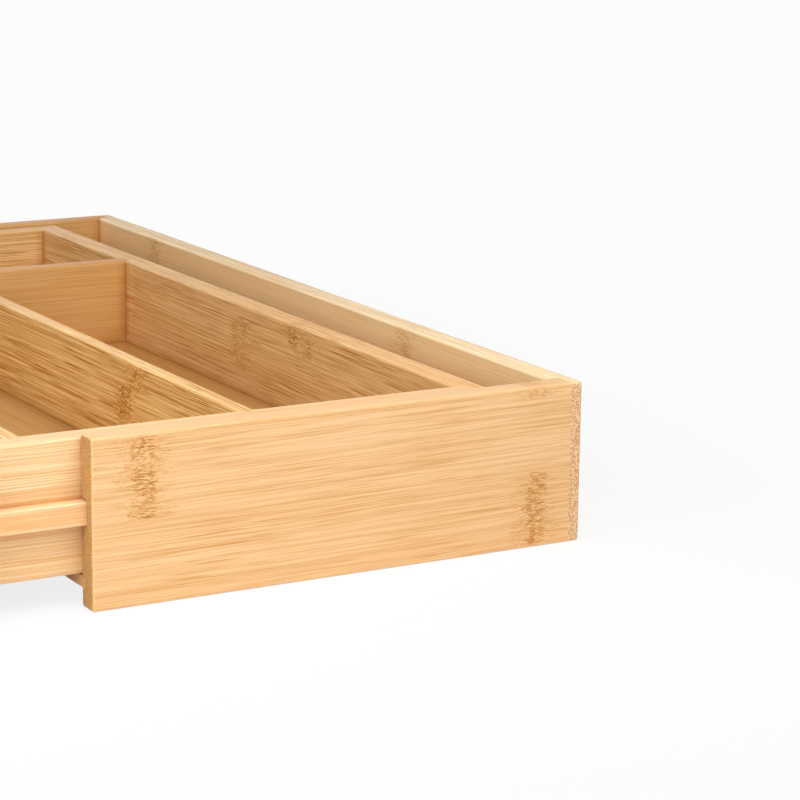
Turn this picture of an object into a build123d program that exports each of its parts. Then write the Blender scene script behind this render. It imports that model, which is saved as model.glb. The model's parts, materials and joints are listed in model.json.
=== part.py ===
"""Expandable bamboo cutlery tray: a core tray with two U-shaped wings that slide out sideways.

Row frame: X runs across the tray, to the right, Y runs from the front to the back and Z is up.
The origin is on the table, under the middle of the tray. Each wing stands pulled out a little.
Lengths are in millimetres.
"""

import os

from build123d import *

# The tray as a whole
tray_depth = 444.5
tray_height = 63.5
edge_radius = 1.2

# Each wing: a front panel, a back panel, a side wall and a thin floor
wing_panel_thickness = 9.5
wing_side_thickness = 9.9
wing_lap_thickness = 5.0
wing_floor_thickness = 4.6
wing_floor_underside = 7.0

# How far each wing stands pulled out, and what stays open when it is pushed in
wing_pull = 21.15
closed_middle_gap = 0.5
closed_side_gap = 4.0

# The core: a frame of four boards round a floor, with dividers on it
slide_gap = 0.5
core_step = 1.4
core_lift_clearance = 0.3
core_wall_thickness = 10.8
core_lap_thickness = 5.4
core_floor_thickness = 5.0
core_floor_rise = 6.0
floor_housing_depth = 3.5
floor_edge_radius = 0.6

# The dividers and the compartments between them
compartment_width = 85.5
divider_thickness = 6.6
divider_edge_radius = 1.0
cross_divider_thickness = 8.4
back_compartment_depth = 92.2
divider_housing_depth = 3.0
long_divider_count = 3

# The rails on the core, and the grooves in the wings that run on them
rail_height = 8.5
rail_rise = 19.2
rail_reach = 5.9
rail_housing_depth = 2.5
rail_edge_radius = 0.6
groove_end_clearance = 0.5
groove_lower_clearance = 0.3
groove_upper_clearance = 0.9

# One overrun serves every cut
overrun = 5.0

# The core, from its lower edge to its upper edge and from side to side
wing_inner_depth = tray_depth - 2 * wing_panel_thickness
wing_floor_top = wing_floor_underside + wing_floor_thickness
core_bottom = wing_floor_top + core_lift_clearance
core_top = tray_height - core_step
core_floor_top = core_bottom + core_floor_rise + core_floor_thickness
core_depth = wing_inner_depth - 2 * slide_gap
core_inner_depth = core_depth - 2 * core_wall_thickness
compartment_count = long_divider_count + 1
core_inner_width = compartment_count * compartment_width + long_divider_count * divider_thickness
core_width = core_inner_width + 2 * core_wall_thickness

# The dividers stand a compartment apart, in front of the wide compartment at the back
divider_pitch = compartment_width + divider_thickness
cross_divider_back = core_inner_depth / 2 - back_compartment_depth
cross_divider_front = cross_divider_back - cross_divider_thickness

# A wing reaches from the middle of the tray to just outside the core when it is pushed in
wing_start = closed_middle_gap / 2 + wing_pull
wing_inner_end = core_width / 2 + closed_side_gap + wing_pull
wing_end = wing_inner_end + wing_side_thickness

# The groove leaves room all round the rail
rail_underside = core_bottom + rail_rise
groove_depth = rail_reach - slide_gap + groove_end_clearance
groove_bottom = rail_underside - groove_lower_clearance
groove_top = rail_underside + rail_height + groove_upper_clearance


def block(x_span, y_span, z_span, mode=Mode.ADD):
    """A plain box between two places along each axis."""
    low, high = zip(x_span, y_span, z_span)
    with Locations(tuple((a + b) / 2 for a, b in zip(low, high))):
        Box(*(b - a for a, b in zip(low, high)), mode=mode)


def about_zero(size):
    """The span of a size that is centred on the origin."""
    return -size / 2, size / 2


def top_long_edges(board, axis):
    """The two upper edges of a board that run along an axis."""
    return board.edges().filter_by(axis).group_by(Axis.Z)[-1]


# The boards of a wing are glued into a U and then rounded over together
with BuildPart() as wing_frame:
    block((wing_start, wing_end), about_zero(tray_depth), (0, tray_height))
    block(
        (wing_start - overrun, wing_inner_end),
        about_zero(wing_inner_depth),
        (-overrun, tray_height + overrun),
        Mode.SUBTRACT,
    )
    wing_uprights = wing_frame.edges().filter_by(Axis.Z)
    wing_inner_corners = wing_uprights.group_by(Axis.X)[1]
    fillet([e for e in wing_frame.edges() if e not in wing_inner_corners], edge_radius)

# The core's four boards, rounded over together in the same way
with BuildPart() as core_frame:
    block(about_zero(core_width), about_zero(core_depth), (core_bottom, core_top))
    block(
        about_zero(core_inner_width),
        about_zero(core_inner_depth),
        (core_bottom - overrun, core_top + overrun),
        Mode.SUBTRACT,
    )
    core_uprights = core_frame.edges().filter_by(Axis.Z)
    core_inner_corners = core_uprights.group_by(Axis.X)[1] + core_uprights.group_by(Axis.X)[2]
    fillet([e for e in core_frame.edges() if e not in core_inner_corners], edge_radius)

# Spans that several boards share
core_panel_x = about_zero(core_width - 2 * core_lap_thickness)
core_front_y = (-core_depth / 2, -core_inner_depth / 2)
core_back_y = (core_inner_depth / 2, core_depth / 2)
core_z = (core_bottom, core_top)
wing_panel_x = (wing_start, wing_end - wing_lap_thickness)
wing_front_y = (-tray_depth / 2, -wing_inner_depth / 2)
wing_back_y = (wing_inner_depth / 2, tray_depth / 2)
wing_z = (0, tray_height)
rail_z = (rail_underside, rail_underside + rail_height)
front_rail_y = (-core_depth / 2 - rail_reach, -core_depth / 2 + rail_housing_depth)
back_rail_y = (core_depth / 2 - rail_housing_depth, core_depth / 2 + rail_reach)

# The core's floor is let into all four boards
with BuildPart() as core_floor:
    block(
        about_zero(core_inner_width + 2 * floor_housing_depth),
        about_zero(core_inner_depth + 2 * floor_housing_depth),
        (core_floor_top - core_floor_thickness, core_floor_top),
    )

# The cross divider stands on the floor, with its ends housed in the side walls
with BuildPart() as cross_divider_blank:
    block(
        about_zero(core_inner_width + 2 * divider_housing_depth),
        (cross_divider_front, cross_divider_back),
        (core_floor_top, core_top),
    )
    fillet(top_long_edges(cross_divider_blank, Axis.X), divider_edge_radius)


def long_divider(place):
    """One divider of the long compartments, housed in the front panel and the cross divider."""
    with BuildPart() as divider:
        block(
            (place - divider_thickness / 2, place + divider_thickness / 2),
            (-core_inner_depth / 2 - divider_housing_depth, cross_divider_front + divider_housing_depth),
            (core_floor_top, core_top),
        )
        fillet(top_long_edges(divider, Axis.Y), divider_edge_radius)
    return divider.part


divider_places = [
    (number - (long_divider_count - 1) / 2) * divider_pitch for number in range(long_divider_count)
]
long_dividers = [long_divider(place) for place in divider_places]

with BuildPart() as cross_divider:
    add(cross_divider_blank.part)
    for divider in long_dividers:
        add(divider, mode=Mode.SUBTRACT)


def rail(y_span, outer_group):
    """A strip along the core that a wing's groove runs on."""
    with BuildPart() as strip:
        block(about_zero(core_width), y_span, rail_z)
        outer_edges = strip.edges().filter_by(Axis.X).group_by(Axis.Y)[outer_group]
        fillet(outer_edges, rail_edge_radius)
    return strip.part


front_rail = rail(front_rail_y, 0)
back_rail = rail(back_rail_y, -1)

with BuildPart() as core_front_panel:
    add(core_frame.part)
    block(core_panel_x, core_front_y, core_z, Mode.INTERSECT)
    add(front_rail, mode=Mode.SUBTRACT)
    add(core_floor.part, mode=Mode.SUBTRACT)
    for divider in long_dividers:
        add(divider, mode=Mode.SUBTRACT)

with BuildPart() as core_back_panel:
    add(core_frame.part)
    block(core_panel_x, core_back_y, core_z, Mode.INTERSECT)
    add(back_rail, mode=Mode.SUBTRACT)
    add(core_floor.part, mode=Mode.SUBTRACT)

# A side wall laps over the ends of the panels, and its lips show from the front and the back
with BuildPart() as core_right_wall:
    add(core_frame.part)
    block((core_inner_width / 2, core_width / 2), about_zero(core_depth), core_z, Mode.INTERSECT)
    block(core_panel_x, core_front_y, core_z, Mode.SUBTRACT)
    block(core_panel_x, core_back_y, core_z, Mode.SUBTRACT)
    add(front_rail, mode=Mode.SUBTRACT)
    add(back_rail, mode=Mode.SUBTRACT)
    add(core_floor.part, mode=Mode.SUBTRACT)
    add(cross_divider_blank.part, mode=Mode.SUBTRACT)

with BuildPart() as core_left_wall:
    mirror(core_right_wall.part, about=Plane.YZ)

# A wing's floor is let into its two panels and its side wall, and runs under the core
with BuildPart() as right_wing_floor:
    block(
        (wing_start, wing_inner_end + floor_housing_depth),
        about_zero(wing_inner_depth + 2 * floor_housing_depth),
        (wing_floor_underside, wing_floor_top),
    )
    free_end = right_wing_floor.edges().filter_by(Axis.Y).group_by(Axis.X)[0]
    fillet(free_end, floor_edge_radius)

wing_groove_x = (wing_start - overrun, wing_end)
groove_z = (groove_bottom, groove_top)

with BuildPart() as right_wing_front_panel:
    add(wing_frame.part)
    block(wing_panel_x, wing_front_y, wing_z, Mode.INTERSECT)
    groove_y = (-wing_inner_depth / 2 - groove_depth, -wing_inner_depth / 2 + overrun)
    block(wing_groove_x, groove_y, groove_z, Mode.SUBTRACT)
    add(right_wing_floor.part, mode=Mode.SUBTRACT)

with BuildPart() as right_wing_back_panel:
    mirror(right_wing_front_panel.part, about=Plane.XZ)

with BuildPart() as right_wing_side_wall:
    add(wing_frame.part)
    block((wing_inner_end, wing_end), about_zero(tray_depth), wing_z, Mode.INTERSECT)
    block(wing_panel_x, wing_front_y, wing_z, Mode.SUBTRACT)
    block(wing_panel_x, wing_back_y, wing_z, Mode.SUBTRACT)
    add(right_wing_floor.part, mode=Mode.SUBTRACT)

with BuildPart() as left_wing_front_panel:
    mirror(right_wing_front_panel.part, about=Plane.YZ)

with BuildPart() as left_wing_back_panel:
    mirror(right_wing_back_panel.part, about=Plane.YZ)

with BuildPart() as left_wing_side_wall:
    mirror(right_wing_side_wall.part, about=Plane.YZ)

with BuildPart() as left_wing_floor:
    mirror(right_wing_floor.part, about=Plane.YZ)

pieces = {
    "core_front_panel": core_front_panel.part,
    "core_back_panel": core_back_panel.part,
    "core_left_wall": core_left_wall.part,
    "core_right_wall": core_right_wall.part,
    "core_floor": core_floor.part,
    "cross_divider": cross_divider.part,
    "front_rail": front_rail,
    "back_rail": back_rail,
    "right_wing_front_panel": right_wing_front_panel.part,
    "right_wing_back_panel": right_wing_back_panel.part,
    "right_wing_side_wall": right_wing_side_wall.part,
    "right_wing_floor": right_wing_floor.part,
    "left_wing_front_panel": left_wing_front_panel.part,
    "left_wing_back_panel": left_wing_back_panel.part,
    "left_wing_side_wall": left_wing_side_wall.part,
    "left_wing_floor": left_wing_floor.part,
}
for number, divider in enumerate(long_dividers, start=1):
    pieces[f"long_divider_{number}"] = divider

os.makedirs("parts", exist_ok=True)
for name, piece in pieces.items():
    piece.label = name
    export_step(piece, f"parts/{name}.step")
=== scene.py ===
"""Bamboo finishes, studio stage and camera for an expandable cutlery tray.

Every board of the tray keeps its CAD mesh. Each gets a bamboo of its own, laid out in metres
along that board's grain, with the culm's knuckles where a board shows them.
"""

import json
import math

import bpy
from bpy.props import FloatProperty, FloatVectorProperty, PointerProperty
from mathutils import Euler, Matrix, Vector


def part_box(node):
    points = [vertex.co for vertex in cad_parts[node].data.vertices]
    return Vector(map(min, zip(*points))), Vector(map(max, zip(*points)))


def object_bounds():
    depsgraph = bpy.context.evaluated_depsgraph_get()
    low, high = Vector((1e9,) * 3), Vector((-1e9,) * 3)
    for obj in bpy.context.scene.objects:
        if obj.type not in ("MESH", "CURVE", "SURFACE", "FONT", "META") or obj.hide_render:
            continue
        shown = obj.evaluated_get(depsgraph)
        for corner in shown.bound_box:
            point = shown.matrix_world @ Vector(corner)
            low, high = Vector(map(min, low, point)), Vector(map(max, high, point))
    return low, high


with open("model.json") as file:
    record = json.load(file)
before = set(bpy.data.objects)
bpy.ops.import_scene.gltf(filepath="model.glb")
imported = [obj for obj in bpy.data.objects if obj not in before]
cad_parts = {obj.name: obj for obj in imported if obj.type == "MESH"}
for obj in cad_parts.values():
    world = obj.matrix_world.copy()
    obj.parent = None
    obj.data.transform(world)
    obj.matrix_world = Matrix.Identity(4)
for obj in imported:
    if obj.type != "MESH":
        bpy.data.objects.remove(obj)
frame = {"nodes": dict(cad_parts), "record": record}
cad_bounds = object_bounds()

bl_info = {
    "name": "Bamboo cutlery tray",
    "version": (1, 0, 0),
    "blender": (4, 5, 0),
    "location": "3D View > Sidebar > Tray",
    "description": "Finishes the boards of an expandable bamboo cutlery tray and sets its stage",
    "category": "Object",
}

MM = 0.001
AXES = "XYZ"
BODIES = frame["record"]["behaviour"]["bodies"]

# Where the culm's knuckles cross a board: the place along the board, then the lower and the
# upper end across it, all as shares of the board's own length and width
KNUCKLE_SHARES = {
    "right_wing_front_panel": [(0.10, 0.50, 0.98), (0.922, 0.02, 0.47), (0.925, 0.93, 1.0)],
    "right_wing_back_panel": [(0.30, 0.02, 0.50), (0.74, 0.52, 0.98)],
    "left_wing_front_panel": [(0.22, 0.02, 0.46), (0.81, 0.48, 0.98)],
    "left_wing_back_panel": [(0.12, 0.50, 0.98), (0.60, 0.03, 0.47)],
    "right_wing_side_wall": [(0.273, 0.52, 1.0), (0.827, 0.50, 1.0), (0.55, 0.02, 0.48)],
    "left_wing_side_wall": [(0.16, 0.04, 0.50), (0.62, 0.52, 1.0)],
    "core_front_panel": [(0.28, 0.50, 1.0), (0.70, 0.03, 0.48)],
    "core_back_panel": [(0.18, 0.02, 0.46), (0.57, 0.48, 1.0), (0.90, 0.04, 0.44)],
    "core_right_wall": [(0.453, 0.42, 0.88), (0.336, 0.80, 1.0), (0.306, 0.74, 0.92)],
    "core_left_wall": [(0.24, 0.44, 1.0), (0.71, 0.02, 0.52)],
    "core_floor": [(0.36, 0.52, 0.60), (0.64, 0.30, 0.37), (0.18, 0.72, 0.79)],
    "cross_divider": [(0.33, 0.04, 0.50), (0.77, 0.40, 0.98)],
    "long_divider_1": [(0.52, 0.04, 0.60)],
    "long_divider_2": [(0.68, 0.36, 0.96)],
    "long_divider_3": [(0.296, 0.72, 0.98), (0.335, 0.20, 0.72)],
    "front_rail": [(0.72, 0.0, 1.0)],
    "back_rail": [(0.24, 0.0, 1.0)],
    "right_wing_floor": [(0.42, 0.60, 0.74)],
    "left_wing_floor": [(0.66, 0.30, 0.44)],
}

# Sizes of the marks that every board has alike: the length along the grain, and the spacing
BLOTCH_SIZE = (120 * MM, 16 * MM)
PATCH_SIZE = (45 * MM, 12 * MM)
STRAY_SIZE = (32 * MM, 4 * MM)
SWIRL_SIZE = (1.4 * MM, 0.6 * MM)
RAGGED_SIZE = (7 * MM, 2.2 * MM)
CROWD_SIZE = (12 * MM, 6 * MM)
KNOT_SIZE = (2.4 * MM, 0.4 * MM)
PORE_SIZE = (5 * MM, 4 * MM)
BEARD_SIZE = (8 * MM, 0.5 * MM)
BAND_LENGTH = 600 * MM
BUNDLE_LENGTH = 30 * MM

# How finely a mark's noise is broken up, where it isn't like most
STRAY_DETAIL = 0.0
LINE_DETAIL = 2.0
KNOT_DETAIL = 2.0
RAGGED_DETAIL = 3.0

# Where a mark fades in: the level of its noise that gives none of it, then the one that gives all
LINE_LEVELS = (0.48, 0.62)
FIBRE_LEVELS = (0.47, 0.61)
DASH_LEVELS = (0.52, 0.66)
HAIR_LEVELS = (0.035, 0.0)
PATCH_LEVELS = (0.35, 0.62)
TONE_LEVELS = (0.35, 0.85)
CROWD_LEVELS = (0.35, 0.6)
FLECK_LEVELS = (0.44, 0.58)
# Painted highlights: the pale flecks in a knuckle, standing in for light on its relief
PAINTED_HIGHLIGHT_LEVELS = (0.46, 0.34)
PORE_LEVELS = (0.12, 0.06)
BEARD_LEVELS = (0.48, 0.62)
BUNDLE_LEVELS = (0.56, 0.34)

# Which faces are broad, and which show end grain, from the part of the normal along that axis
BROAD_LEVELS = (0.5, 0.9)
END_LEVELS = (0.6, 0.95)

# How far fibres stray, and swirl in a knuckle, as multiples of the grain's waviness
STRAY_REACH = 3
SWIRL_REACH = 4

# A knuckle's ragged sides, its beards' reach and its full middle, as shares of its width, and
# the length over which it fades at its ends
RAGGED_SHARE = 1.3
BEARD_REACH = 2.4
FULL_SHARE = 0.45
KNUCKLE_FADE = 1 * MM

# What is left of the dashes between their patches, and of the flecks where they are sparse
LEAST_DASHES = 0.3
LEAST_FLECKS = 0.5

# How much a strip's own tone counts, and how strongly the marks are laid on, the painted highlights
# in knuckles among them
STRIP_TONE = 0.4
BEARD_STRENGTH = 0.65
PAINTED_HIGHLIGHT_STRENGTH = 0.8
END_STRENGTH = 0.75
DOT_STRENGTH = 0.7

# The share of a worn edge's width that is worn all over
FULL_WEAR = 0.2

# What lines and end grain add to a face's roughness, and what wear takes off it
LINE_ROUGHNESS = 0.1
END_ROUGHNESS = 0.2
WEAR_SMOOTHNESS = 0.08

# The lacquer over the face, and how strongly the face itself reflects
COAT_ROUGHNESS = 0.35
SPECULAR_LEVEL = 0.22

# How far apart two boards are cut from the same bamboo, in metres
BOARD_STEPS = (0.37, 0.11, 0.23)


def colour(name, description, default):
    """A linear colour that a user can change."""
    return FloatVectorProperty(
        name=name, description=description, default=default, subtype="COLOR", min=0.0, max=1.0
    )


def length(name, description, default):
    """A length in metres that a user can change."""
    return FloatProperty(
        name=name, description=description, default=default, unit="LENGTH", min=0.0
    )


def power(name, description, default):
    """A lamp's power in watts that a user can change."""
    return FloatProperty(name=name, description=description, default=default, unit="POWER", min=0.0)


def place(name, description, default):
    """A place in the row frame, in metres, that a user can change."""
    return FloatVectorProperty(
        name=name, description=description, default=default, subtype="TRANSLATION"
    )


def angle(name, description, degrees):
    """An angle, given in degrees, that a user can change."""
    return FloatProperty(
        name=name, description=description, default=math.radians(degrees), subtype="ANGLE"
    )


def share(name, description, default):
    """A share from none to all that a user can change."""
    return FloatProperty(
        name=name, description=description, default=default, subtype="FACTOR", min=0.0, max=1.0
    )


class GrainSettings(bpy.types.PropertyGroup):
    """Sizes of the bamboo's grain, which all the boards share."""

    line_spacing: length("Line spacing", "Between two long lines", 0.6 * MM)
    line_length: length("Line length", "Of a long line along the grain", 220 * MM)
    hair_spacing: length("Hair spacing", "Between two thin dark lines", 3.2 * MM)
    fibre_spacing: length("Fibre spacing", "Between two fibres", 0.4 * MM)
    fibre_length: length("Fibre length", "Of one fibre where a face cuts it", 70 * MM)
    dash_spacing: length("Dash spacing", "Between two short dashes", 0.38 * MM)
    dash_length: length("Dash length", "Of a short dash along the grain", 28 * MM)
    band_width: length("Band width", "Of the soft bands of tone along the grain", 5 * MM)
    strip_width: length("Strip width", "Of the strips that a board is glued up from", 31 * MM)
    glue_width: length("Glue width", "Of the faint line between two strips", 0.35 * MM)
    bundle_spacing: length("Bundle spacing", "Between two bundles in the end grain", 0.75 * MM)
    waviness: length("Waviness", "How far a fibre strays from straight", 0.2 * MM)
    slant: angle("Slant", "Of the grain to a board's edges", 0.5)
    knuckle_width: length("Knuckle width", "Of a knuckle along the grain", 12 * MM)
    edge_width: length("Edge width", "Of the band along an edge that handling wears", 2.0 * MM)
    # Seam: a dark joint line in an inner corner, partly painted shade
    seam_shade_width: length("Seam width", "Of the dark line in an inner corner", 1.1 * MM)
    # Painted shade: the soft darkening beside an inner corner
    corner_shade_width: length("Corner width", "Of the softer darkening beside that line", 6 * MM)
    fibre_depth: length("Fibre depth", "How deep the fibres lie in the surface", 0.006 * MM)
    fleck_depth: length("Fleck depth", "How deep the flecks in a knuckle lie", 0.035 * MM)


class BoardFinish:
    """What one group of boards is finished with. Each group has defaults of its own."""

    roughness: share("Roughness", "Of the lacquered face", 0.52)
    lacquer: share("Lacquer", "Weight of the clear coat", 0.05)
    tone_spread: share("Tone spread", "How much the strips and bands differ in tone", 0.6)
    line_strength: share("Line strength", "How dark the long lines are", 0.45)
    hair_strength: share("Hair strength", "How dark the thinnest lines are", 0.4)
    fibre_strength: share("Fibre strength", "How dark the fibres are", 0.4)
    dash_strength: share("Dash strength", "How dark the short dashes are", 0.3)
    knuckle_strength: share("Knuckle strength", "How dark the knuckles are", 0.85)
    face_marks: share("Face marks", "How much of the grain shows on the broad faces", 1.0)
    edge_marks: share("Edge marks", "How much of the grain shows along the edges", 0.75)
    face_tint: colour("Face tint", "What the broad faces are toned with", (1.0, 1.0, 1.0))
    edge_tint: colour("Edge tint", "What the narrow faces are toned with", (1.0, 1.0, 1.0))
    edge_wear: share("Edge wear", "How pale the worn edges are", 0.3)
    # Seam: a dark joint line in an inner corner, partly painted shade
    seam_shade_strength: share("Seam strength", "How dark the lines in inner corners are", 0.4)
    # Painted shade: how dark the soft darkening beside an inner corner is
    corner_shade_strength: share("Corner strength", "How dark the corners beside those lines are", 0.4)


class PanelFinish(BoardFinish, bpy.types.PropertyGroup):
    """The pale bamboo of the wings' front panels."""

    tone_spread: share("Tone spread", "How much the strips and bands differ in tone", 0.35)
    line_strength: share("Line strength", "How dark the long lines are", 0.15)
    hair_strength: share("Hair strength", "How dark the thinnest lines are", 0.3)
    fibre_strength: share("Fibre strength", "How dark the fibres are", 0.3)
    dash_strength: share("Dash strength", "How dark the short dashes are", 0.6)
    knuckle_strength: share("Knuckle strength", "How dark the knuckles are", 0.8)
    edge_marks: share("Edge marks", "How much of the grain shows along the edges", 0.3)
    pale_colour: colour("Pale colour", "Of the softer tissue", (0.815, 0.535, 0.28))
    warm_colour: colour("Warm colour", "Of the denser bands", (0.745, 0.43, 0.173))
    line_colour: colour("Line colour", "Of the fibres", (0.57, 0.25, 0.05))
    fleck_colour: colour("Fleck colour", "Of the flecks in a knuckle", (0.41, 0.14, 0.0))
    end_colour: colour("End colour", "Of the end grain", (0.41, 0.245, 0.08))


class SideFinish(BoardFinish, bpy.types.PropertyGroup):
    """The palest bamboo, of the wings' side walls."""

    line_strength: share("Line strength", "How dark the long lines are", 0.5)
    knuckle_strength: share("Knuckle strength", "How dark the knuckles are", 0.45)
    face_marks: share("Face marks", "How much of the grain shows on the broad faces", 0.3)
    face_tint: colour("Face tint", "What the broad faces are toned with", (1.0, 0.92, 0.79))
    edge_marks: share("Edge marks", "How much of the grain shows along the edges", 1.0)
    pale_colour: colour("Pale colour", "Of the softer tissue", (1.0, 0.80, 0.52))
    warm_colour: colour("Warm colour", "Of the denser bands", (1.0, 0.70, 0.37))
    line_colour: colour("Line colour", "Of the fibres", (0.66, 0.36, 0.12))
    fleck_colour: colour("Fleck colour", "Of the flecks in a knuckle", (0.42, 0.15, 0.03))
    end_colour: colour("End colour", "Of the end grain", (0.75, 0.48, 0.275))


class FrontFinish(BoardFinish, bpy.types.PropertyGroup):
    """The bamboo of the core's front."""

    edge_wear: share("Edge wear", "How pale the worn edges are", 0.05)
    edge_tint: colour("Edge tint", "What the narrow faces are toned with", (1.0, 0.92, 0.88))
    pale_colour: colour("Pale colour", "Of the softer tissue", (0.90, 0.65, 0.38))
    warm_colour: colour("Warm colour", "Of the denser bands", (0.84, 0.55, 0.27))
    line_colour: colour("Line colour", "Of the fibres", (0.66, 0.32, 0.09))
    fleck_colour: colour("Fleck colour", "Of the flecks in a knuckle", (0.42, 0.14, 0.02))
    end_colour: colour("End colour", "Of the end grain", (0.58, 0.34, 0.14))


class CoreFinish(BoardFinish, bpy.types.PropertyGroup):
    """The deeper bamboo of the core's side walls and back panel."""

    tone_spread: share("Tone spread", "How much the strips and bands differ in tone", 0.45)
    line_strength: share("Line strength", "How dark the long lines are", 0.3)
    fibre_strength: share("Fibre strength", "How dark the fibres are", 0.35)
    dash_strength: share("Dash strength", "How dark the short dashes are", 0.9)
    knuckle_strength: share("Knuckle strength", "How dark the knuckles are", 0.65)
    edge_wear: share("Edge wear", "How pale the worn edges are", 0.0)
    face_tint: colour("Face tint", "What the broad faces are toned with", (0.93, 0.90, 0.84))
    edge_tint: colour("Edge tint", "What the narrow faces are toned with", (0.96, 0.85, 0.73))
    pale_colour: colour("Pale colour", "Of the softer tissue", (0.96, 0.69, 0.37))
    warm_colour: colour("Warm colour", "Of the denser bands", (0.82, 0.49, 0.17))
    line_colour: colour("Line colour", "Of the fibres", (0.48, 0.20, 0.03))
    fleck_colour: colour("Fleck colour", "Of the flecks in a knuckle", (0.29, 0.09, 0.0))
    end_colour: colour("End colour", "Of the end grain", (0.60, 0.34, 0.14))


class DividerFinish(BoardFinish, bpy.types.PropertyGroup):
    """The long dividers' bamboo, which has the strongest lines."""

    tone_spread: share("Tone spread", "How much the strips and bands differ in tone", 0.25)
    line_strength: share("Line strength", "How dark the long lines are", 0.3)
    fibre_strength: share("Fibre strength", "How dark the fibres are", 0.6)
    knuckle_strength: share("Knuckle strength", "How dark the knuckles are", 1.0)
    dash_strength: share("Dash strength", "How dark the short dashes are", 1.0)
    edge_wear: share("Edge wear", "How pale the worn edges are", 0.1)
    edge_tint: colour("Edge tint", "What the narrow faces are toned with", (1.0, 0.92, 0.90))
    pale_colour: colour("Pale colour", "Of the softer tissue", (0.95, 0.67, 0.28))
    warm_colour: colour("Warm colour", "Of the denser bands", (0.86, 0.465, 0.12))
    line_colour: colour("Line colour", "Of the fibres", (0.46, 0.17, 0.01))
    fleck_colour: colour("Fleck colour", "Of the flecks in a knuckle", (0.26, 0.08, 0.005))
    end_colour: colour("End colour", "Of the end grain", (0.60, 0.34, 0.14))


class CrossFinish(BoardFinish, bpy.types.PropertyGroup):
    """The orange bamboo of the cross divider, which the wings' back panels take too as painted
    shade.
    """

    tone_spread: share("Tone spread", "How much the strips and bands differ in tone", 0.35)
    line_strength: share("Line strength", "How dark the long lines are", 0.2)
    hair_strength: share("Hair strength", "How dark the thinnest lines are", 0.2)
    fibre_strength: share("Fibre strength", "How dark the fibres are", 0.25)
    dash_strength: share("Dash strength", "How dark the short dashes are", 0.2)
    edge_wear: share("Edge wear", "How pale the worn edges are", 0.0)
    edge_tint: colour("Edge tint", "What the narrow faces are toned with", (1.0, 0.84, 0.66))
    pale_colour: colour("Pale colour", "Of the softer tissue", (0.675, 0.40, 0.152))
    warm_colour: colour("Warm colour", "Of the denser bands", (0.575, 0.29, 0.076))
    line_colour: colour("Line colour", "Of the fibres", (0.44, 0.16, 0.02))
    fleck_colour: colour("Fleck colour", "Of the flecks in a knuckle", (0.27, 0.09, 0.01))
    end_colour: colour("End colour", "Of the end grain", (0.56, 0.31, 0.12))


class FloorFinish(BoardFinish, bpy.types.PropertyGroup):
    """The thin bamboo boards of the floors."""

    tone_spread: share("Tone spread", "How much the strips and bands differ in tone", 0.8)
    line_strength: share("Line strength", "How dark the long lines are", 0.35)
    pale_colour: colour("Pale colour", "Of the softer tissue", (0.615, 0.36, 0.13))
    warm_colour: colour("Warm colour", "Of the denser bands", (0.49, 0.245, 0.07))
    line_colour: colour("Line colour", "Of the fibres", (0.46, 0.20, 0.05))
    fleck_colour: colour("Fleck colour", "Of the flecks in a knuckle", (0.26, 0.09, 0.02))
    end_colour: colour("End colour", "Of the end grain", (0.60, 0.36, 0.16))


class RailFinish(BoardFinish, bpy.types.PropertyGroup):
    """The planed strips that the wings run on."""

    edge_tint: colour("Edge tint", "What the narrow faces are toned with", (0.90, 0.69, 0.51))
    pale_colour: colour("Pale colour", "Of the softer tissue", (0.95, 0.74, 0.48))
    warm_colour: colour("Warm colour", "Of the denser bands", (0.90, 0.62, 0.32))
    line_colour: colour("Line colour", "Of the fibres", (0.70, 0.36, 0.11))
    fleck_colour: colour("Fleck colour", "Of the flecks in a knuckle", (0.40, 0.14, 0.02))
    end_colour: colour("End colour", "Of the end grain", (0.62, 0.36, 0.16))


class StageSettings(bpy.types.PropertyGroup):
    """The floor, the lamps and the camera."""

    floor_size: length("Floor size", "Width and depth of the floor", 24.0)
    floor_colour: colour("Floor colour", "Of the floor under the light", (0.90, 0.90, 0.90))
    white: share("White", "How bright the surround looks to the camera", 0.98)
    floor_glow: share("Floor glow", "Share of white in the floor beside the tray", 0.85)
    glow_reach: length("Glow reach", "From the tray to where the floor is all white", 0.25)
    sky_strength: share("Sky strength", "Of the even light from all round", 0.2)
    lamp_size: length("Lamp size", "Side of each soft lamp", 0.5)
    key_power: power("Key power", "Of the lamp over the front", 3.7)
    key_place: place("Key place", "Of the lamp over the front", (0.16, -0.48, 0.75))
    near_power: power("Near power", "Of the lamp close to the front", 0.92)
    near_place: place("Near place", "Of the lamp close to the front", (0.12, -0.56, 0.36))
    left_power: power("Left power", "Of the lamp to the left", 3.7)
    left_place: place("Left place", "Of the lamp to the left", (-0.52, -0.38, 0.41))
    back_power: power("Back power", "Of the lamp behind", 1.0)
    back_place: place("Back place", "Of the lamp behind", (0.30, 1.00, 0.30))
    camera_place: place("Camera place", "Where the camera stands", (-0.3568, -1.09275, 0.2959))
    camera_turn: angle("Camera turn", "From straight along Y towards +X", 29.995)
    camera_dip: angle("Camera dip", "Below the horizon", 12.963)
    camera_roll: angle("Camera roll", "About the line of sight", 0.72)
    lens: FloatProperty(
        name="Lens",
        description="Focal length on a 36 mm sensor",
        default=125.4,
        unit="CAMERA",
        min=1.0,
    )


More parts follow.
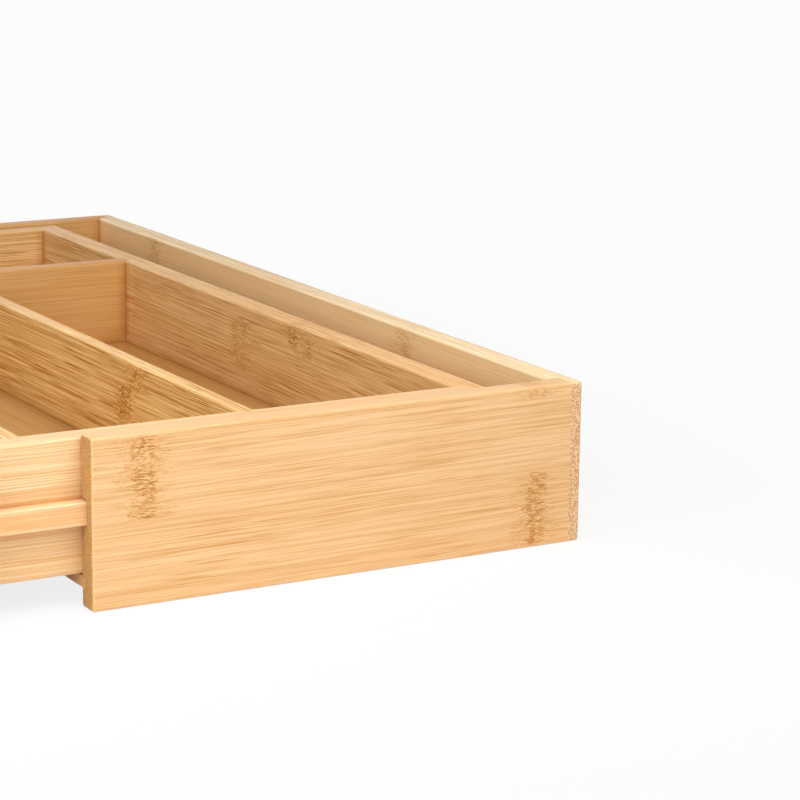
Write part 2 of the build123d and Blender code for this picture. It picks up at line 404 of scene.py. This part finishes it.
class Graph:
    """A material's nodes. An input takes another node's output or a plain value."""

    def __init__(self, tree):
        self.tree = tree
        tree.nodes.clear()

    def node(self, kind, inputs, **settings):
        made = self.tree.nodes.new("ShaderNode" + kind)
        for name, value in settings.items():
            setattr(made, name, value)
        for name, value in inputs.items():
            if isinstance(value, bpy.types.NodeSocket):
                self.tree.links.new(value, made.inputs[name])
            else:
                made.inputs[name].default_value = value
        return made

    def math(self, operation, first, second=0.0, third=0.0):
        inputs = {0: first, 1: second, 2: third}
        return self.node("Math", inputs, operation=operation).outputs[0]

    def vector(self, operation, first, second=(0.0, 0.0, 0.0)):
        return self.node("VectorMath", {0: first, 1: second}, operation=operation).outputs[0]

    def scaled(self, vector, amount):
        inputs = {0: vector, "Scale": amount}
        return self.node("VectorMath", inputs, operation="SCALE").outputs[0]

    def ease(self, value, low, high):
        """Goes smoothly from 0 at low to 1 at high, or the other way where low is the larger."""
        inputs = {"Value": value, "From Min": low, "From Max": high}
        return self.node("MapRange", inputs, interpolation_type="SMOOTHSTEP").outputs[0]

    def mix(self, amount, first, second, blend="MIX"):
        """Mixes two colours, which a Mix node takes at inputs 6 and 7 and gives at output 2."""
        inputs = {0: amount, 6: first, 7: second}
        return self.node("Mix", inputs, data_type="RGBA", blend_type=blend).outputs[2]

    def noise(self, vector, detail):
        inputs = {"Vector": vector, "Scale": 1.0, "Detail": detail}
        return self.node("TexNoise", inputs).outputs

    def cells(self, vector):
        return self.node("TexVoronoi", {"Vector": vector, "Scale": 1.0}).outputs["Distance"]

    def from_box(self, point, low, high):
        """How far a point is from a box, in metres."""
        outside = self.vector("ABSOLUTE", self.vector("SUBTRACT", point, (low + high) / 2))
        outside = self.vector("SUBTRACT", outside, (high - low) / 2)
        outside = self.vector("MAXIMUM", outside)
        return self.node("VectorMath", {0: outside}, operation="LENGTH").outputs["Value"]


class Board:
    """Where one board lies, and which way its grain runs."""

    def __init__(self, node, along, across):
        self.node = node
        self.number = sorted(frame["nodes"]).index(node)
        self.along = AXES.index(along)
        self.across = AXES.index(across)
        self.through = 3 - self.along - self.across
        self.low, self.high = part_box(node)

    def axes(self):
        """The axes along the grain, across it and through the board."""
        return self.along, self.across, self.through

    def place(self, axis, part):
        """A place in metres, from a share of the board's size along one axis."""
        return self.low[axis] + part * (self.high[axis] - self.low[axis])

    def knuckles(self):
        """Each knuckle's place along the board, and its lower and upper end across it."""
        for along, lower, upper in KNUCKLE_SHARES.get(self.node, []):
            yield (
                self.place(self.along, along),
                self.place(self.across, lower),
                self.place(self.across, upper),
            )

    def neighbours(self, reach):
        """The boxes of the other boards of the same body that are nearer than reach."""
        for node in next(nodes for nodes in BODIES.values() if self.node in nodes):
            low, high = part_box(node)
            apart = max(max(low[i] - self.high[i], self.low[i] - high[i]) for i in range(3))
            if node != self.node and apart < reach:
                yield Vector(low), Vector(high)


def opaque(rgb):
    return (*rgb, 1.0)


class Bamboo(Graph):
    """The bamboo of one board, laid along its grain."""

    def __init__(self, tree, board, finish, grain):
        super().__init__(tree)
        self.board = board
        self.finish = finish
        self.grain = grain
        self.pale = opaque(finish.pale_colour)
        self.warm = opaque(finish.warm_colour)
        self.line = opaque(finish.line_colour)
        self.dark = opaque(finish.fleck_colour)

        # A board's object stands at the origin, so its Object coordinates are in the row frame
        coordinates = self.node("TexCoord", {}).outputs
        self.point = coordinates["Object"]
        self.facing = coordinates["Normal"]
        self.parts = self.node("SeparateXYZ", {0: self.point}).outputs
        normal = self.node("SeparateXYZ", {0: self.facing}).outputs
        self.broad = self.ease(self.math("ABSOLUTE", normal[board.through]), *BROAD_LEVELS)
        self.end = self.ease(self.math("ABSOLUTE", normal[board.along]), *END_LEVELS)

        self.laid = self.lay_out()
        self.knuckle, self.surround = self.place_knuckles()
        self.laid = self.bend_fibres()

        self.blotches = self.streaks(BLOTCH_SIZE)
        self.lines = self.marks((grain.line_length, grain.line_spacing), LINE_LEVELS, LINE_DETAIL)
        self.fibres = self.marks((grain.fibre_length, grain.fibre_spacing), FIBRE_LEVELS)
        self.dashes = self.dash_patches()
        self.worn = self.worn_edges()

    def spaced(self, size):
        """The laid-out point, in units of a mark's length along the grain and its spacing."""
        along, spacing = size
        return self.vector("DIVIDE", self.laid, (along, spacing, spacing))

    def streaks(self, size, detail=1.0):
        """A noise drawn out along the grain."""
        return self.noise(self.spaced(size), detail)["Fac"]

    def marks(self, size, levels, detail=1.0):
        """One where such a noise is past its levels, and nought where it falls short of them."""
        return self.ease(self.streaks(size, detail), *levels)

    def wander(self, size, detail=1.0):
        """A noise in each direction, about nought."""
        noise = self.noise(self.spaced(size), detail)["Color"]
        return self.vector("SUBTRACT", noise, (0.5, 0.5, 0.5))

    def lay_out(self):
        """The point along the grain, across it and through the board.

        Each board has its own place in the bamboo and its own slant, so no two look alike.
        """
        board = self.board
        parts = {index: self.parts[axis] for index, axis in enumerate(board.axes())}
        placed = {
            "Vector": self.node("CombineXYZ", parts).outputs[0],
            "Location": tuple(step * board.number for step in BOARD_STEPS),
            "Rotation": (0.0, 0.0, self.grain.slant * math.sin(board.number)),
        }
        return self.node("Mapping", placed).outputs[0]

    def place_knuckles(self):
        """The knuckles, with ragged sides, and the wider bands that their beards reach."""
        ragged = self.math("SUBTRACT", self.streaks(RAGGED_SIZE, RAGGED_DETAIL), 0.5)
        ragged = self.math("MULTIPLY", ragged, RAGGED_SHARE * self.grain.knuckle_width)
        return self.knuckle_mask(ragged, 1.0), self.knuckle_mask(ragged, BEARD_REACH)

    def knuckle_mask(self, ragged, reach):
        """One where a knuckle crosses the board, out to a share of its width."""
        along, across = self.parts[self.board.along], self.parts[self.board.across]
        side = reach * self.grain.knuckle_width / 2
        whole = 0.0
        for middle, lower, upper in self.board.knuckles():
            offset = self.math("ADD", self.math("SUBTRACT", along, middle), ragged)
            near = self.ease(self.math("ABSOLUTE", offset), side, FULL_SHARE * side)
            above = self.ease(across, lower - KNUCKLE_FADE, lower + KNUCKLE_FADE)
            below = self.ease(across, upper + KNUCKLE_FADE, upper - KNUCKLE_FADE)
            one = self.math("MULTIPLY", near, self.math("MULTIPLY", above, below))
            whole = self.math("MAXIMUM", one, whole)
        return whole

    def bend_fibres(self):
        """The laid-out point, with fibres that stray a little and swirl in a knuckle."""
        stray = STRAY_REACH * self.grain.waviness
        swirl = SWIRL_REACH * self.grain.waviness
        strays = self.vector("MULTIPLY", self.wander(STRAY_SIZE, STRAY_DETAIL), (0.0, stray, 0.0))
        swirls = self.scaled(self.wander(SWIRL_SIZE), self.surround)
        swirls = self.vector("MULTIPLY", swirls, (0.0, swirl, swirl))
        return self.vector("ADD", self.laid, self.vector("ADD", strays, swirls))

    def dash_patches(self):
        """Short dashes, which are faint between their patches."""
        dashes = self.marks((self.grain.dash_length, self.grain.dash_spacing), DASH_LEVELS)
        patches = self.marks(PATCH_SIZE, PATCH_LEVELS)
        left = self.math("MULTIPLY_ADD", patches, 1 - LEAST_DASHES, LEAST_DASHES)
        return self.math("MULTIPLY", dashes, left)

    def hairs(self):
        """Thin dark lines, where a noise crosses its middle."""
        contours = self.streaks((self.grain.line_length, self.grain.hair_spacing))
        from_middle = self.math("ABSOLUTE", self.math("SUBTRACT", contours, 0.5))
        return self.ease(from_middle, *HAIR_LEVELS)

    def worn_edges(self):
        """How close a point is to a long edge, with the patchiness of real wear."""
        board, width = self.board, self.grain.edge_width
        distances = []
        for axis in (board.through, board.across):
            middle = board.place(axis, 0.5)
            from_middle = self.math("ABSOLUTE", self.math("SUBTRACT", self.parts[axis], middle))
            distances.append(self.math("SUBTRACT", board.high[axis] - middle, from_middle))
        from_edge = self.math("MAXIMUM", *distances)
        uneven = self.math("MULTIPLY", self.math("SUBTRACT", self.blotches, 0.5), 2 * width)
        return self.ease(self.math("ADD", from_edge, uneven), width, FULL_WEAR * width)

    def corner_distance(self):
        """How far a point is from the nearest inner corner with another board of the same body.

        It is measured a little way out from the face, so that a flush joint doesn't count.
        """
        nearest = self.grain.corner_shade_width
        lifted = self.vector("ADD", self.point, self.scaled(self.facing, nearest))
        for low, high in self.board.neighbours(self.grain.seam_shade_width):
            nearest = self.math("MINIMUM", self.from_box(lifted, low, high), nearest)
        return nearest

    def laid_on(self, shade, marks, strength, stain):
        """The shade with a stain laid on it where the marks are."""
        return self.mix(self.math("MULTIPLY", marks, strength), shade, stain)

    def grained(self):
        """The shade of strips glued side by side, with bands and blotches and the grain on it."""
        finish = self.finish
        strips = self.math("DIVIDE", self.parts[self.board.across], self.grain.strip_width)
        number = self.math("ADD", self.math("FLOOR", strips), float(self.board.number))
        tone = self.node("TexWhiteNoise", {"W": number}, noise_dimensions="1D").outputs["Value"]
        bands = self.streaks((BAND_LENGTH, self.grain.band_width))
        tone = self.math("ADD", self.math("MULTIPLY", tone, STRIP_TONE), bands)
        tone = self.math("MULTIPLY", self.math("ADD", tone, self.blotches), 0.5)
        tone = self.math("MULTIPLY", self.ease(tone, *TONE_LEVELS), finish.tone_spread)
        shade = self.mix(tone, self.pale, self.warm)

        # The marks are strong on a board's broad faces and faint along its edges
        glue = self.math("MULTIPLY", self.math("PINGPONG", strips, 0.5), self.grain.strip_width)
        glue = self.math("MULTIPLY", self.ease(glue, self.grain.glue_width, 0.0), self.broad)
        face_marks = finish.face_marks - finish.edge_marks
        marked = self.math("MULTIPLY_ADD", self.broad, face_marks, finish.edge_marks)
        for marks, strength in (
            (self.lines, finish.line_strength),
            (self.hairs(), finish.hair_strength),
            (self.fibres, finish.fibre_strength),
            (self.dashes, finish.dash_strength),
            (glue, finish.hair_strength),
        ):
            shade = self.laid_on(shade, self.math("MULTIPLY", marks, marked), strength, self.line)
        return shade

    def knuckle_marks(self):
        """The flecks and pores in a knuckle, which are dark and lie deeper than the face."""
        crowded = self.marks(CROWD_SIZE, CROWD_LEVELS)
        crowded = self.math("MULTIPLY_ADD", crowded, 1 - LEAST_FLECKS, LEAST_FLECKS)
        flecks = self.marks(KNOT_SIZE, FLECK_LEVELS, KNOT_DETAIL)
        flecks = self.math("MULTIPLY", self.math("MULTIPLY", flecks, self.knuckle), crowded)
        pores = self.ease(self.cells(self.spaced(PORE_SIZE)), *PORE_LEVELS)
        return flecks, self.math("MULTIPLY", pores, self.knuckle)

    def knuckled(self, shade, flecks, pores):
        """The shade with the knuckles, which have dark flecks, pores and beards, and pale flecks of
        painted highlight.
        """
        beards = self.math("MULTIPLY", self.marks(BEARD_SIZE, BEARD_LEVELS), self.surround)
        # Painted highlights: pale flecks beside the dark ones, for light catching the knuckle's
        # relief
        painted_highlights = self.marks(KNOT_SIZE, PAINTED_HIGHLIGHT_LEVELS, KNOT_DETAIL)
        painted_highlights = self.math("MULTIPLY", painted_highlights, self.knuckle)
        for marks, strength, stain in (
            (self.knuckle, 1.0, self.warm),
            (beards, BEARD_STRENGTH, self.line),
            (painted_highlights, PAINTED_HIGHLIGHT_STRENGTH, self.pale),
            (flecks, 1.0, self.dark),
            (pores, 1.0, self.dark),
        ):
            shade = self.laid_on(shade, marks, strength * self.finish.knuckle_strength, stain)
        return shade

    def edged(self, shade):
        """The shade with end grain, pale worn edges, painted shade beside inner corners and dark
        seam lines in them, partly painted shade.
        """
        finish, grain = self.finish, self.grain
        bundles = self.cells(self.spaced((BUNDLE_LENGTH, grain.bundle_spacing)))
        dots = self.math("MULTIPLY", self.ease(bundles, *BUNDLE_LEVELS), self.end)
        shade = self.laid_on(shade, self.end, END_STRENGTH, opaque(finish.end_colour))
        shade = self.laid_on(shade, dots, DOT_STRENGTH, self.dark)
        tint = self.mix(self.broad, opaque(finish.edge_tint), opaque(finish.face_tint))
        shade = self.mix(1.0, shade, tint, "MULTIPLY")
        shade = self.laid_on(shade, self.worn, finish.edge_wear, self.pale)
        corner = self.corner_distance()
        # Painted shade, darkening the colour beside each inner corner
        painted_corner_shade = self.ease(corner, grain.corner_shade_width, 0.0)
        shade = self.laid_on(shade, painted_corner_shade, finish.corner_shade_strength, self.line)
        # A dark joint line in each inner corner, partly painted shade
        seam_shade = self.ease(corner, grain.seam_shade_width, 0.0)
        return self.laid_on(shade, seam_shade, finish.seam_shade_strength, self.dark)

    def relief(self, flecks, pores):
        """How deep the fibres, dashes, flecks and pores lie."""
        fine = self.math("ADD", self.fibres, self.dashes)
        height = self.math("MULTIPLY", fine, -self.grain.fibre_depth)
        for marks in (flecks, pores):
            sunk = self.math("MULTIPLY", marks, -self.grain.fleck_depth)
            height = self.math("ADD", height, sunk)
        bump = {"Strength": 1.0, "Distance": 1.0, "Height": height}
        return self.node("Bump", bump).outputs[0]

    def gloss(self):
        """Lines and end grain are rougher than the face, and worn edges smoother."""
        rough = self.finish.roughness
        rough = self.math("ADD", rough, self.math("MULTIPLY", self.lines, LINE_ROUGHNESS))
        rough = self.math("ADD", rough, self.math("MULTIPLY", self.end, END_ROUGHNESS))
        return self.math("SUBTRACT", rough, self.math("MULTIPLY", self.worn, WEAR_SMOOTHNESS))

    def build(self):
        """Joins the colour, the gloss and the relief in one shader."""
        flecks, pores = self.knuckle_marks()
        shade = self.edged(self.knuckled(self.grained(), flecks, pores))
        shader = self.node("BsdfPrincipled", {
            "Base Color": shade,
            "Roughness": self.gloss(),
            "Normal": self.relief(flecks, pores),
            "Coat Weight": self.finish.lacquer,
            "Coat Roughness": COAT_ROUGHNESS,
            "Specular IOR Level": SPECULAR_LEVEL,
        })
        self.node("OutputMaterial", {"Surface": shader.outputs[0]})


def finish_board(context, node, finish, along, across):
    """Gives one board a bamboo of its own, with its grain along one axis of the row frame."""
    material = bpy.data.materials.new(node + "_bamboo")
    material.use_nodes = True
    board = Board(node, along, across)
    Bamboo(material.node_tree, board, finish, context.scene.tray_grain).build()
    mesh = frame["nodes"][node].data
    mesh.materials.clear()
    mesh.materials.append(material)


class FinishWingPanels(bpy.types.Operator):
    """Finish the front and back panels of both wings."""

    bl_idname = "tray.finish_wing_panels"
    bl_label = "Finish wing panels"

    def execute(self, context):
        for side in ("right", "left"):
            finish_board(context, f"{side}_wing_front_panel", context.scene.tray_panel, "X", "Z")
            # The back panels take the darker cross finish as painted shade, for the shade at the
            # far end of the side compartments
            finish_board(context, f"{side}_wing_back_panel", context.scene.tray_cross, "X", "Z")
        return {"FINISHED"}


class FinishWingWalls(bpy.types.Operator):
    """Finish the side walls of both wings."""

    bl_idname = "tray.finish_wing_walls"
    bl_label = "Finish wing side walls"

    def execute(self, context):
        for side in ("right", "left"):
            finish_board(context, f"{side}_wing_side_wall", context.scene.tray_side, "Y", "Z")
        return {"FINISHED"}


class FinishCoreWalls(bpy.types.Operator):
    """Finish the four walls of the core."""

    bl_idname = "tray.finish_core_walls"
    bl_label = "Finish core walls"

    def execute(self, context):
        finish_board(context, "core_front_panel", context.scene.tray_front, "X", "Z")
        finish_board(context, "core_back_panel", context.scene.tray_core, "X", "Z")
        for side in ("right", "left"):
            finish_board(context, f"core_{side}_wall", context.scene.tray_core, "Y", "Z")
        return {"FINISHED"}


class FinishDividers(bpy.types.Operator):
    """Finish the cross divider and the long dividers."""

    bl_idname = "tray.finish_dividers"
    bl_label = "Finish dividers"

    def execute(self, context):
        finish_board(context, "cross_divider", context.scene.tray_cross, "X", "Z")
        for node in sorted(frame["nodes"]):
            if node.startswith("long_divider"):
                finish_board(context, node, context.scene.tray_divider, "Y", "Z")
        return {"FINISHED"}


class FinishFloors(bpy.types.Operator):
    """Finish the core's floor and the two wing floors."""

    bl_idname = "tray.finish_floors"
    bl_label = "Finish floors"

    def execute(self, context):
        for node in ("core_floor", "right_wing_floor", "left_wing_floor"):
            finish_board(context, node, context.scene.tray_floor, "Y", "X")
        return {"FINISHED"}


class FinishRails(bpy.types.Operator):
    """Finish the two rails that the wings run on."""

    bl_idname = "tray.finish_rails"
    bl_label = "Finish rails"

    def execute(self, context):
        for node in ("front_rail", "back_rail"):
            finish_board(context, node, context.scene.tray_rail, "X", "Y")
        return {"FINISHED"}


def straight_view(graph):
    """One for what the camera sees, straight on or in a gloss or a glass, and nought for light."""
    path = graph.node("LightPath", {}).outputs
    seen = graph.math("MAXIMUM", path["Is Camera Ray"], path["Is Glossy Ray"])
    return graph.math("MAXIMUM", seen, path["Is Transmission Ray"])


def add_floor(stage):
    """A wide pale floor. It looks white away from the tray, and takes a soft shadow beside it."""
    bpy.ops.object.select_all(action="DESELECT")
    bpy.ops.mesh.primitive_plane_add(size=stage.floor_size, location=(0.0, 0.0, 0.0))
    floor = bpy.context.active_object
    floor.name = "floor"
    material = bpy.data.materials.new("floor_paper")
    material.use_nodes = True
    graph = Graph(material.node_tree)
    point = graph.node("TexCoord", {}).outputs["Object"]
    away = graph.ease(graph.from_box(point, *cad_bounds), 0.0, stage.glow_reach)
    glow = graph.math("MULTIPLY_ADD", away, 1.0 - stage.floor_glow, stage.floor_glow)
    amount = graph.math("MULTIPLY", straight_view(graph), glow)
    paper = graph.node("BsdfDiffuse", {"Color": opaque(stage.floor_colour)})
    white = graph.node("Emission", {"Color": opaque((1.0, 1.0, 1.0)), "Strength": stage.white})
    both = graph.node("MixShader", {0: amount, 1: paper.outputs[0], 2: white.outputs[0]})
    graph.node("OutputMaterial", {"Surface": both.outputs[0]})
    floor.data.materials.append(material)


def add_sky(stage):
    """An even white surround: white to the camera, and softer as light."""
    world = bpy.data.worlds.new("studio")
    bpy.context.scene.world = world
    world.use_nodes = True
    graph = Graph(world.node_tree)
    brighter = graph.math("MULTIPLY", straight_view(graph), stage.white - stage.sky_strength)
    strength = graph.math("ADD", brighter, stage.sky_strength)
    sky = graph.node("Background", {"Color": opaque((1.0, 1.0, 1.0)), "Strength": strength})
    graph.node("OutputWorld", {"Surface": sky.outputs[0]})


def add_lamp(name, stand, size, watts):
    """A square soft lamp that points at the tray and doesn't show."""
    bpy.ops.object.light_add(type="AREA", location=stand)
    lamp = bpy.context.active_object
    lamp.name = name
    lamp.data.size = size
    lamp.data.energy = watts
    lamp.visible_camera = False
    aim = (cad_bounds[0] + cad_bounds[1]) / 2 - Vector(stand)
    lamp.rotation_euler = aim.to_track_quat("-Z", "Y").to_euler()


def add_camera(stage):
    """The camera at the photograph's viewing angle."""
    upright = math.pi / 2
    bpy.ops.object.camera_add(location=stage.camera_place)
    camera = bpy.context.active_object
    camera.name = "camera"
    level = Euler((upright - stage.camera_dip, 0.0, -stage.camera_turn)).to_matrix()
    camera.rotation_euler = (level @ Matrix.Rotation(stage.camera_roll, 3, "Z")).to_euler()
    camera.data.lens = stage.lens
    bpy.context.scene.camera = camera


class SetStage(bpy.types.Operator):
    """Add the floor, the sky, the lamps and the camera."""

    bl_idname = "tray.set_stage"
    bl_label = "Set the stage"

    def execute(self, context):
        stage = context.scene.tray_stage
        add_floor(stage)
        add_sky(stage)
        add_lamp("key_lamp", stage.key_place, stage.lamp_size, stage.key_power)
        add_lamp("near_lamp", stage.near_place, stage.lamp_size, stage.near_power)
        add_lamp("left_lamp", stage.left_place, stage.lamp_size, stage.left_power)
        add_lamp("back_lamp", stage.back_place, stage.lamp_size, stage.back_power)
        add_camera(stage)
        context.scene.view_settings.view_transform = "Standard"
        return {"FINISHED"}


STEPS = [
    FinishWingPanels,
    FinishWingWalls,
    FinishCoreWalls,
    FinishDividers,
    FinishFloors,
    FinishRails,
    SetStage,
]


class TrayPanel(bpy.types.Panel):
    """Lists the steps that finish the tray."""

    bl_idname = "VIEW3D_PT_tray"
    bl_label = "Bamboo cutlery tray"
    bl_space_type = "VIEW_3D"
    bl_region_type = "UI"
    bl_category = "Tray"

    def draw(self, context):
        for step in STEPS:
            self.layout.operator(step.bl_idname)


SETTINGS = {
    "tray_grain": GrainSettings,
    "tray_panel": PanelFinish,
    "tray_side": SideFinish,
    "tray_front": FrontFinish,
    "tray_core": CoreFinish,
    "tray_divider": DividerFinish,
    "tray_cross": CrossFinish,
    "tray_floor": FloorFinish,
    "tray_rail": RailFinish,
    "tray_stage": StageSettings,
}


def register():
    for kind in [*SETTINGS.values(), *STEPS, TrayPanel]:
        bpy.utils.register_class(kind)
    for name, kind in SETTINGS.items():
        setattr(bpy.types.Scene, name, PointerProperty(type=kind))


def unregister():
    for name in SETTINGS:
        delattr(bpy.types.Scene, name)
    for kind in reversed([*SETTINGS.values(), *STEPS, TrayPanel]):
        bpy.utils.unregister_class(kind)


def main():
    register()
    bpy.ops.tray.finish_wing_panels()
    bpy.ops.tray.finish_wing_walls()
    bpy.ops.tray.finish_core_walls()
    bpy.ops.tray.finish_dividers()
    bpy.ops.tray.finish_floors()
    bpy.ops.tray.finish_rails()
    bpy.ops.tray.set_stage()


if __name__ == "__main__":
    main()
